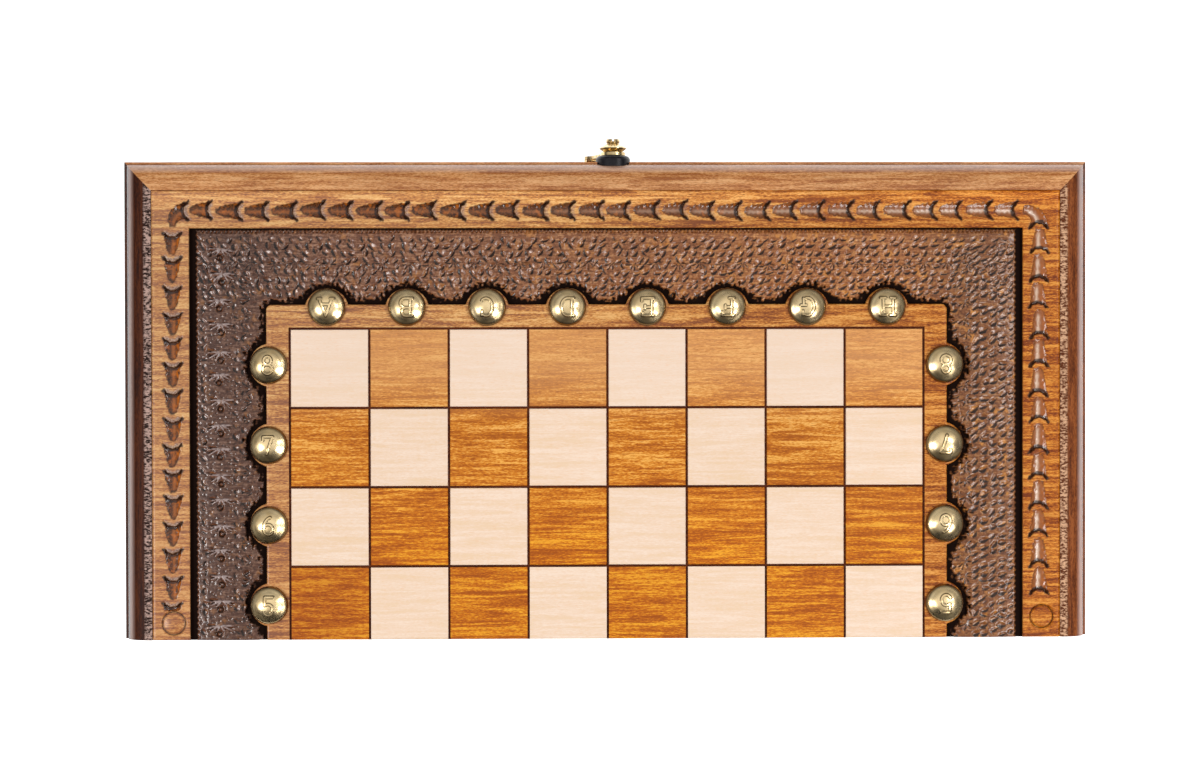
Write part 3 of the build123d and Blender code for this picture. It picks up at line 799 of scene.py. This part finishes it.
def stud_mesh(glyph, angle, rng):
    """Points and faces of one embossed stud about its own axis, with patina beside its strokes and a
    painted dark reflection towards its rim.
    """
    rings = stud_radius * np.r_[
        np.linspace(0, 0.52, STUD_RINGS)[:-1], np.linspace(0.52, 0.9, 14)[:-1],
        np.linspace(0.9, 1.0, 14),
    ]
    turns = np.radians(np.linspace(0, 360, STUD_TURNS))
    radius, turn = np.meshgrid(rings, turns, indexing="ij")
    x, y = radius * np.cos(turn), radius * np.sin(turn)
    tilt = math.radians(angle)
    gx = x * math.cos(tilt) + y * math.sin(tilt)
    gy = y * math.cos(tilt) - x * math.sin(tilt)
    size = np.array([GLYPH_HEIGHT * (LETTER_WIDEN if glyph.isalpha() else 1.0), GLYPH_HEIGHT])
    strokes = [np.reshape(s, (-1, 2)) * size - (0, GLYPH_HEIGHT / 2) for s in GLYPHS[glyph]]
    d = stroke_distance(gx, gy, strokes)
    body = smooth(d, GLYPH_STROKE + 0.2, GLYPH_STROKE - 0.2)
    hollow = smooth(d, 0.45, 0.1)
    sunk = GLYPH_RAISE + 0.06
    dents = 0.045 * np.sin(x * 1.1 + rng.uniform(0, 6)) * np.sin(y * 0.9 + rng.uniform(0, 6))
    h = dome(radius) - sunk * smooth(radius, stud_radius, stud_radius * 0.7)
    h = h + GLYPH_RAISE * (body - 0.25 * hollow) + dents * smooth(radius, 9, 7)
    # Patina beside the strokes; towards the rim, a painted dark reflection of the surroundings.
    patina_and_painted_rim = np.exp(-(((d - GLYPH_STROKE - 0.05) / 0.24) ** 2))
    patina_and_painted_rim = np.maximum(patina_and_painted_rim, 0.9 * smooth(radius, stud_radius * 0.78, stud_radius * 0.99))
    # The last ring again, down at the foot
    last = ((0, 1), (0, 0))
    x, y = np.pad(x, last, mode="edge"), np.pad(y, last, mode="edge")
    return x, y, np.pad(h, last), np.pad(patina_and_painted_rim, last, constant_values=1)


def stud_group(half, kind, labels):
    """The eight embossed studs of a node, as one piece."""
    rng = np.random.default_rng(15 if kind == "letter" else 11)
    points, faces, patina_and_painted_rims = [], [], []
    for glyph, angle, (cx, cy) in labels:
        x, y, h, patina_and_painted_rim = stud_mesh(glyph, angle, rng)
        start = sum(len(p) for p in points)
        points.append(to_row(x + cx, y + cy, h, half))
        quads = grid_faces(*x.shape) + start
        faces.append(quads if half == "lower" else quads[:, ::-1])
        patina_and_painted_rims.append(patina_and_painted_rim.ravel())
    values = {"patina_and_painted_rim": np.concatenate(patina_and_painted_rims)}
    name = f"{half}_{kind}_studs_embossed"
    return mesh_object(name, np.concatenate(points), np.concatenate(faces), values, 70)


def stud_labels(half):
    """Sign, turn in degrees from upright, and place of each stud, by kind."""
    digits = "5678" if half == "upper" else "4321"
    return {
        "letter": zip("ABCDEFGH", [180] * COLUMNS, letter_places),
        "number": zip(digits * 2, [0] * ROWS + [180] * ROWS, number_places),
    }


# Materials

WHITE = (1, 1, 1, 1)
HALF_LENGTH = 0.25
# Heights over the seam between which the moulding beside the face begins
FACE_FROM, FACE_TO = 0.0224, 0.0232


def colour(red, green, blue):
    """Linear colour from the usual 0 to 255 values."""
    def linear(v):
        v /= 255
        return v / 12.92 if v <= 0.04045 else ((v + 0.055) / 1.055) ** 2.4
    return (linear(red), linear(green), linear(blue), 1.0)


class Graph:
    """Node tree. Amounts are node outputs or numbers; three numbers are a colour of 0 to 255."""

    def __init__(self, tree, coordinates):
        self.tree = tree
        self.source = self.node("TexCoord").outputs[coordinates]
        self.place = self.node("SeparateXYZ", Vector=self.source).outputs

    def node(self, kind, settings=None, **inputs):
        """Adds a shader node, sets it and links its inputs, given by name or as i and a number."""
        made = self.tree.nodes.new("ShaderNode" + kind)
        for key, value in (settings or {}).items():
            setattr(made, key, value)
        for key, value in inputs.items():
            socket = made.inputs[int(key[1:]) if key[1:].isdigit() else key.replace("_", " ")]
            if isinstance(value, bpy.types.NodeSocket):
                self.tree.links.new(value, socket)
            else:
                socket.default_value = value
        return made

    def math(self, operation, a, b=0.0, c=0.0):
        return self.node("Math", {"operation": operation}, i0=a, i1=b, i2=c).outputs[0]

    def times(self, a, b):
        return self.math("MULTIPLY", a, b)

    def plus(self, a, b):
        return self.math("ADD", a, b)

    def spread(self, value, low, high, to_low=0.0, to_high=1.0):
        return self.node("MapRange", Value=value, From_Min=low, From_Max=high,
                         To_Min=to_low, To_Max=to_high).outputs[0]

    def mix(self, fac, a, b, blend="MIX"):
        a, b = (colour(*v) if isinstance(v, tuple) and len(v) == 3 else v for v in (a, b))
        return self.node("Mix", {"data_type": "RGBA", "blend_type": blend},
                         i0=fac, i6=a, i7=b).outputs[2]

    def over(self, base, *coats):
        """Lays colours over a base, each given with its amount and perhaps a way to blend."""
        for fac, tone, *blend in coats:
            base = self.mix(fac, base, tone, *blend)
        return base

    def ramp(self, fac, stops):
        """Colour ramp from stops of place, red, green and blue."""
        made = self.node("ValToRGB", Fac=fac)
        elements = made.color_ramp.elements
        while len(elements) < len(stops):
            elements.new(0.5)
        for element, (place, *tone) in zip(elements, stops):
            element.position = place
            element.color = colour(*tone)
        return made.outputs["Color"]

    def noise(self, scale, detail, roughness=0.55, distortion=0.0, source=None):
        """Noise of one scale, or of a scale for each axis."""
        source = self.source if source is None else source
        if isinstance(scale, tuple):
            source = self.node("Mapping", Vector=source, Scale=scale).outputs[0]
            scale = 1.0
        return self.node("TexNoise", Vector=source, Scale=scale, Detail=detail,
                         Roughness=roughness, Distortion=distortion).outputs["Fac"]

    def layer(self, name):
        return self.node("Attribute", {"attribute_name": name}).outputs["Fac"]

    def across(self, left, right):
        """Runs from left to right over the length of the case."""
        return self.spread(self.place["X"], -HALF_LENGTH, HALF_LENGTH, left, right)

    def from_middle(self, axis, start, end, most=1.0):
        """Rises from 0 at one distance from the middle plane to most at another."""
        place = self.place[axis]
        if axis == "Z":
            place = self.math("SUBTRACT", place, seam_z)
        return self.spread(self.math("ABSOLUTE", place), start, end, 0.0, most)

    def near_face(self, amount, low=FACE_FROM, high=FACE_TO):
        """Keeps an amount only on the moulding beside the face, not on the walls."""
        return self.times(amount, self.from_middle("Z", low, high))


class Paint(Graph):
    """Material with its node tree and shader."""

    def __init__(self, name, **shader):
        self.material = bpy.data.materials.new(name)
        self.material.use_nodes = True
        super().__init__(self.material.node_tree, "Object")
        self.bsdf = self.tree.nodes["Principled BSDF"]
        for key, value in shader.items():
            self.bsdf.inputs[key.replace("_", " ")].default_value = value

    def result(self, height, strength, distance, **inputs):
        """Links a bump and other inputs to the shader, and gives the material."""
        bump = self.node("Bump", Height=height, Strength=strength, Distance=distance)
        for key, value in {"Normal": bump.outputs[0], **inputs}.items():
            self.tree.links.new(value, self.bsdf.inputs[key.replace("_", " ")])
        return self.material


def grain(p, axis, tones, source=None):
    """Wood colour from wavy growth rings, with short flecks and pores along the grain."""
    def stretched(fine, long, *rest):
        return p.noise(tuple(long if k == axis else fine for k in "XYZ"), *rest, source=source)

    coarse = stretched(300, 22, 5, 0.62, 0.8)
    bands = stretched(800, 50, 3, 0.6, 0.4)
    flecks = stretched(2400, 520, 3, 0.65)
    rings = p.math("MULTIPLY_ADD", coarse, 0.45, p.times(bands, 0.3))
    whole = p.math("MULTIPLY_ADD", flecks, 0.42, rings)
    pores = p.spread(stretched(3000, 340, 2), 0.58, 0.7)
    return p.ramp(p.spread(whole, 0.51, 0.66), tones), flecks, pores


def wood(name, tones, pore, worn=None, **shader):
    """Varnished wood, painted paler towards an outer edge where one is given, as a painted reflection
    of the bright surroundings.
    """
    p = Paint(name, **shader)
    base, fibre, pores = grain(p, "X", tones)
    blotch = p.spread(p.noise(18.0, 3, 0.5), 0.3, 0.7, 0.0, 0.22)
    tone = p.over(base, (blotch, pore), (p.times(pores, 0.45), pore))
    if worn:
        # Painted reflection: paler on the moulding beside the face, towards its outer edge.
        tone = p.mix(p.near_face(p.from_middle(*worn)), tone, (214, 188, 180))
    rough = p.spread(fibre, 0.3, 0.7, 0.2, 0.34)
    return p.result(fibre, 0.12, 0.0004, Base_Color=tone, Roughness=rough)


AMBER_TONES = ((0.0, 126, 60, 10), (0.35, 188, 114, 38), (0.65, 224, 154, 68), (1.0, 252, 198, 122))
BOARD_TONES = ((0.0, 164, 100, 44), (0.4, 194, 128, 64), (0.7, 210, 146, 82), (1.0, 228, 168, 104))
RAIL_TONES = ((0.0, 164, 94, 40), (0.4, 200, 132, 72), (0.7, 216, 150, 90), (1.0, 236, 176, 118))
SIDE_TONES = ((0.0, 92, 44, 18), (0.5, 136, 70, 32), (1.0, 172, 98, 50))
LINE_TONES = ((0.0, 58, 22, 6), (0.5, 76, 32, 12), (1.0, 98, 46, 20))
PALE_TONES = ((0.0, 238, 206, 172), (0.4, 241, 211, 184), (0.75, 243, 215, 191), (1.0, 246, 221, 199))
TILE_TONES = ((0.0, 164, 86, 8), (0.35, 197, 114, 22), (0.65, 218, 139, 42), (1.0, 246, 184, 100))
LEFT_FIELD = ((0.0, 30, 17, 12), (0.5, 92, 58, 44), (1.0, 176, 138, 118))
RIGHT_FIELD = ((0.0, 64, 30, 12), (0.5, 148, 86, 42), (1.0, 220, 158, 96))
LEAF_TONES = ((0.0, 36, 17, 11), (0.5, 62, 31, 18), (1.0, 112, 56, 18))


def tile_wood(name, tones, pore, drift, fine, pale, deep, **shader):
    """Wood of the playing squares: each square is cut from another place of the board."""
    p = Paint(name, **shader)
    x, y = p.place["X"], p.place["Y"]
    front = hinge_y + grid_front * MM

    def rows(start, end, most=1.0):
        """Rises to most over a run of rows, counted from the front."""
        return p.spread(y, front - start * pitch * MM, front - end * pitch * MM, 0, most)

    column = p.math("FLOOR", p.spread(x, -grid_half * MM, grid_half * MM, 0, COLUMNS))
    cell = p.node("CombineXYZ", X=column, Y=p.math("FLOOR", rows(ROWS, 0, ROWS))).outputs[0]
    chance = p.node("TexWhiteNoise", Vector=cell).outputs
    jump = p.node("VectorMath", {"operation": "SCALE"}, i0=chance["Color"], Scale=0.7).outputs[0]
    moved = p.node("VectorMath", {"operation": "ADD"}, i0=p.source, i1=jump).outputs[0]
    base, fibre, pores = grain(p, "X", tones, moved)
    corner = p.times(rows(2.1, 3.2), p.spread(x, -0.105, -0.145, 0, deep[0]))
    base = p.over(
        base, (rows(1.2, 0.5, pale[0]), pale[1]), (rows(0.9, 2.7, deep[0]), deep[1], "MULTIPLY"),
        (corner, (228, 216, 214), "MULTIPLY"))
    tilt = p.times(p.spread(chance["Value"], 0, 1, 1 - drift, 1 + drift),
                   p.spread(x, 0, 0.15, 1.0, 0.965))
    bright = p.node("HueSaturation", Color=base, Value=tilt).outputs[0]
    tone = p.mix(p.times(pores, fine), bright, pore)
    rough = p.spread(fibre, 0.3, 0.7, 0.34, 0.5)
    return p.result(fibre, 0.08, 0.0003, Base_Color=tone, Roughness=rough)


def carved_board():
    """Band and plaque in amber wood, field stained dark, grooves nearly black, with painted light,
    highlights and shade laid over them.
    """
    p = Paint("carved_board", IOR=1.5, Specular_IOR_Level=0.45)
    mix, times, plus, spread, noise, across = p.mix, p.times, p.plus, p.spread, p.noise, p.across
    stain, groove, leaf, cut, worn, glow, streak = (
        p.layer(k) for k in ("stain", "groove", "leaf", "cut", "worn", "glow", "streak"))
    y = p.place["Y"]
    speck = noise(1300.0, 3, 0.6)

    base, fibre, pores = grain(p, "X", AMBER_TONES)
    blotch = times(spread(noise(55.0, 4, 0.6), 0.52, 0.72, 0, 0.5), across(0.2, 1.0))
    # Painted light over the grain: a grey sheen of the left lamp's reflection towards the left, and
    # amber made deeper and more saturated towards the right, where the light falls more orange. Also
    # pores, blotches, and darker towards the lower left.
    low_left = times(spread(y, 0.0, -0.11), across(0.5, -0.3))
    base = p.over(
        base, (across(0.4, 0.0), (162, 126, 106)), (times(pores, 0.7), (122, 68, 32)),
        (blotch, (150, 78, 22)), (across(-0.6, 1.0), (226, 190, 120), "MULTIPLY"),
        (low_left, (238, 206, 176), "MULTIPLY"))
    # Painted light: the band at the front is made brighter.
    painted_front_light = spread(y, 0.09, 0.099, 1, 1.25)
    base = p.node("HueSaturation", Color=base, Value=painted_front_light).outputs[0]

    streaks, grit = noise((170, 1050, 1050), 4, 0.65), noise(620.0, 5, 0.72)
    fibres = spread(plus(times(streaks, 0.5), times(grit, 0.5)), 0.3, 0.68)
    field = mix(across(-0.1, 1.5), p.ramp(fibres, LEFT_FIELD), p.ramp(fibres, RIGHT_FIELD))
    gold = times(spread(noise(210.0, 3, 0.55), 0.58, 0.7, 0, 0.7), across(0.2, 1.0))
    # Painted lamp light: orange on slopes that face the left lamp, mostly on the left.
    painted_lamp_light = times(glow, across(1.0, 0.3))
    # Pale colour of the ribs: a painted highlight standing in for glints.
    painted_highlight = mix(across(-0.3, 1.0), (172, 154, 150), (222, 196, 180))
    # Field: darker side fields, gold flecks, painted lamp light, painted highlights on the ribs, and
    # painted shade on the chips' far walls and in dents.
    field = p.over(
        field, (p.from_middle("X", 0.15, 0.185, 0.36), (40, 24, 20)), (gold, (214, 140, 58)),
        (times(painted_lamp_light, 0.3), (190, 108, 50)), (times(worn, 0.75), painted_highlight),
        (times(cut, across(0.95, 0.9)), (16, 8, 5)))

    # Painted highlight: orange glints in the leaves' scoops.
    painted_orange_glints = spread(noise(330.0, 3, 0.5), 0.55, 0.66, 0, 0.6)
    # Leaves: painted glints and lamp light, painted highlight streaks, orange on the left and pale on
    # the right, and painted shade at the stab cuts.
    leafy = p.over(
        p.ramp(spread(speck, 0.38, 0.62), LEAF_TONES), (painted_orange_glints, (186, 98, 26)),
        (across(-0.6, 0.9), (156, 92, 50)), (painted_lamp_light, (206, 108, 18)),
        (times(streak, across(0.6, -0.2)), (188, 104, 34)),
        (times(streak, across(-0.5, 0.8)), (226, 200, 176)), (times(cut, 0.85), (26, 14, 11)))

    bare = mix(spread(speck, 0.4, 0.6), (96, 74, 66), (184, 160, 148))
    # Band: bared crescents of wear on the left, painted shade at the stab cuts and in the rings, then
    # the leaves, the field and the nearly black grooves over it.
    tone = p.over(
        base, (times(worn, across(0.9, 0.0)), bare), (times(cut, 0.95), (40, 22, 16)),
        (times(leaf, 0.95), leafy), (stain, field), (groove, (22, 10, 6)))
    tint = p.over(
        mix(across(0.1, 0.75), WHITE, (0.2, 0.2, 0.2, 1)), (p.math("MAXIMUM", stain, leaf), WHITE),
        (groove, (0.1, 0.1, 0.1, 1)))
    rough = plus(spread(groove, 0, 1, 0.34, 0.95), plus(times(stain, -0.13), times(leaf, -0.12)))
    height = plus(times(speck, spread(stain, 0, 1, 0.02, 0.1)), times(fibre, 0.05))
    return p.result(height, 0.5, 0.0005, Base_Color=tone, Specular_Tint=tint, Roughness=rough)


def side_rail():
    """Dark moulded rail with a painted reflection along its outer edge, and a rough strip beside the
    board with pale dashes that are a painted highlight.
    """
    p = Paint("side_rail", **RAIL_FINISH)
    reach, near_face = p.from_middle, p.near_face
    base, fibre, _ = grain(p, "Y", SIDE_TONES)
    # Painted reflection: a pale band along the moulding's outer edge.
    edge = p.math("SUBTRACT", reach("X", 0.2436, 0.2456, 0.36), reach("X", 0.2468, 0.2472, 0.36))
    base = p.over(
        base, (near_face(p.across(0.95, 0.3), 0.006), (110, 92, 78), "MULTIPLY"),
        (near_face(edge), (222, 188, 176)))
    # Painted highlight: the lamp's dotted reflection on the rough strip, as pale dashes.
    strip = near_face(reach("X", 0.2391, 0.2381), 0.0298, 0.0304)
    dashes = p.noise((520, 1150, 700), 3, 0.6)
    dash = p.spread(dashes, 0.43, 0.59)
    left = p.mix(dash, (36, 18, 12), (190, 158, 146))
    right = p.mix(dash, (96, 44, 14), (220, 172, 132))
    tone = p.mix(strip, base, p.mix(p.across(-0.2, 0.9), left, right))
    rough = p.plus(reach("X", 0.2425, 0.2440, -0.32), 0.5)
    matt = near_face(reach("X", 0.2446, 0.2432), 0.028, 0.029)
    tint = p.mix(matt, WHITE, (0.22, 0.2, 0.2, 1))
    height = p.plus(p.times(fibre, 0.06), p.times(dashes, strip))
    return p.result(height, 0.8, 0.0006, Base_Color=tone, Specular_Tint=tint, Roughness=rough)


def brass(name, bright, dark, rough_low, rough_high, with_patina_and_painted_rim=False):
    """Polished brass; on the studs, darker with patina beside the strokes and a painted dark
    reflection towards the rim.
    """
    p = Paint(name, Metallic=1.0, IOR=1.45)
    cloud = p.noise(220.0, 4, 0.6)
    tone = p.mix(p.spread(cloud, 0.35, 0.7), bright, dark)
    if with_patina_and_painted_rim:
        # Patina beside the strokes, and a painted dark reflection at the studs' rims.
        tone = p.mix(p.times(p.layer("patina_and_painted_rim"), 0.9), tone, (72, 54, 24))
    rough = p.spread(cloud, 0.3, 0.7, rough_low, rough_high)
    return p.result(p.noise(1400.0, 3, 0.6), 0.1, 0.0002, Base_Color=tone, Roughness=rough)


def black_disc():
    p = Paint("black_disc", Roughness=0.36, IOR=1.5, Specular_IOR_Level=0.22)
    fine = p.noise(900.0, 3, 0.6)
    tone = p.mix(p.spread(fine, 0.3, 0.7), (12, 11, 14), (30, 26, 32))
    return p.result(fine, 0.1, 0.0003, Base_Color=tone)


RAIL_FINISH = {"IOR": 1.5, "Specular_IOR_Level": 0.5}
TILE_FINISH = {"IOR": 1.48, "Coat_Weight": 0.12, "Coat_Roughness": 0.25}
by_slot = {
    # The front and back rails have a painted reflection along their outer edge.
    "stained_rail": wood("rail_along", RAIL_TONES, (96, 52, 28), ("Y", 0.1124, 0.1142, 0.38),
                         **RAIL_FINISH),
    "carved_board": wood("board_wood", BOARD_TONES, (126, 70, 30), **TILE_FINISH),
    "pale_wood": tile_wood(
        "pale_wood", PALE_TONES, (240, 192, 146), 0.01, 0.5,
        (0.5, (241, 216, 196)), (0.0, (255, 255, 255)), **TILE_FINISH),
    "amber_wood": tile_wood(
        "amber_wood", TILE_TONES, (160, 88, 28), 0.04, 0.65,
        (0.55, (224, 166, 110)), (1.0, (252, 232, 110)), Specular_IOR_Level=0.2, **TILE_FINISH),
    "pale_inlay": wood("pale_inlay", PALE_TONES, (226, 178, 134), **TILE_FINISH),
    "dark_inlay": wood("dark_inlay", SIDE_TONES, (50, 24, 14), **TILE_FINISH),
    "stud_brass": brass("stud_brass", (255, 228, 178), (240, 208, 152), 0.24, 0.32, True),
    "fitting_brass": brass("fitting_brass", (218, 196, 148), (164, 138, 94), 0.2, 0.36),
    "black_disc": black_disc(),
}
rail_wood = side_rail()
carved_wood = carved_board()
line_wood = wood("line_wood", LINE_TONES, (52, 20, 8), Specular_IOR_Level=0.1)

for part in frame["record"]["subparts"]:
    piece = nodes[part["node"]]
    piece.data.materials.clear()
    piece.data.materials.append(by_slot[part["material_slot"]])
for half in HALVES:
    for side in ("left", "right"):
        piece = nodes[f"{half}_{side}_rail"]
        piece.data.materials[0] = rail_wood
    for piece in border_pieces(half):
        finished(piece, half, carved_wood, "face_panel")
    finished(square_bed(half), half, line_wood, "face_panel")
    finished(core(half), half, by_slot["carved_board"], "face_panel")
    for kind, labels in stud_labels(half).items():
        studs = stud_group(half, kind, labels)
        finished(studs, half, by_slot["stud_brass"], f"{kind}_studs")

# Floor, light and camera

FLOOR_SIZE = 8.0
FLOOR_GREY = 0.93
FLOOR_GLOW = 0.75
FLOOR_SHINE = 1.3
CASE_MIDDLE = (0, 0, 0.07)
# Name, place, width, length and power of each lamp
SOFTBOXES = (
    ("left_softbox", (-0.94, -0.27, 1.07), 0.3, 0.3, 7.6),
    ("right_softbox_low", (0.62, -0.44, 0.83), 0.38, 0.2, 4.0),
    ("right_softbox_high", (0.64, 0.18, 0.83), 0.24, 0.2, 1.8),
)
CAMERA_PLACE = (-0.0242, 0.0146, 1.220)
CAMERA_TURNS = ((0.00212, "Z"), (0.0177, "Y"), (0.0108, "X"))
CAMERA_LENS = 66.86


def floor():
    """Pale floor, lit up for the camera and for what the varnish and brass mirror."""
    p = Paint("floor", Roughness=0.9, Base_Color=(FLOOR_GREY, FLOOR_GREY, FLOOR_GREY, 1),
              Specular_IOR_Level=0.1)
    path = p.node("LightPath").outputs
    mirrored = p.times(path["Is Glossy Ray"], FLOOR_SHINE)
    shine = p.math("MULTIPLY_ADD", path["Is Camera Ray"], FLOOR_GLOW, mirrored)
    glow = p.node("Emission", Color=WHITE, Strength=shine)
    both = p.node("AddShader", i0=p.bsdf.outputs[0], i1=glow.outputs[0])
    p.tree.links.new(both.outputs[0], p.tree.nodes["Material Output"].inputs["Surface"])
    corners = np.array([(-0.5, -0.5, 0), (0.5, -0.5, 0), (0.5, 0.5, 0), (-0.5, 0.5, 0)])
    plane = mesh_object("floor", FLOOR_SIZE * corners, np.array([[0, 1, 2, 3]]))
    plane.data.materials.append(p.material)


def world():
    """Studio bright overhead and behind the case, darker towards the front and the horizon."""
    made = bpy.data.worlds.new("studio")
    made.use_nodes = True
    bpy.context.scene.world = made
    g = Graph(made.node_tree, "Generated")
    y, z = g.place["Y"], g.place["Z"]
    wall = g.times(g.spread(y, -0.6, 0.4, 0.04, 0.6), g.spread(z, 0.3, 0.75, 0.2, 1.0))
    sky = g.plus(wall, g.spread(z, 0.74, 0.95, 0, 0.44))
    seen = g.node("LightPath").outputs["Is Camera Ray"]
    level = g.math("MULTIPLY_ADD", sky, g.math("SUBTRACT", 1.0, seen), seen)
    inputs = g.tree.nodes["Background"].inputs
    inputs["Color"].default_value = WHITE
    g.tree.links.new(level, inputs["Strength"])


def placed(name, data, place, turn):
    made = new_object(name, data)
    made.location = place
    made.rotation_mode = "QUATERNION"
    made.rotation_quaternion = turn
    return made


def softbox(name, place, width, length, power):
    """Lamp aimed at the middle of the case."""
    data = bpy.data.lights.new(name, "AREA")
    data.shape = "RECTANGLE"
    data.size, data.size_y = width, length
    data.energy = power
    placed(name, data, place, (Vector(CASE_MIDDLE) - Vector(place)).to_track_quat("-Z", "Y"))


def camera():
    """The photograph's view: from above, slightly left of the middle."""
    data = bpy.data.cameras.new("camera")
    data.sensor_width = 36.0
    data.lens = CAMERA_LENS
    data.clip_start, data.clip_end = 0.05, 30.0
    turn = Matrix.Identity(3)
    for angle, axis in CAMERA_TURNS:
        turn = turn @ Matrix.Rotation(angle, 3, axis)
    turn = turn.transposed().to_quaternion()
    bpy.context.scene.camera = placed("camera", data, CAMERA_PLACE, turn)


floor()
world()
for lamp in SOFTBOXES:
    softbox(*lamp)
camera()
bpy.context.scene.view_settings.view_transform = "Standard"
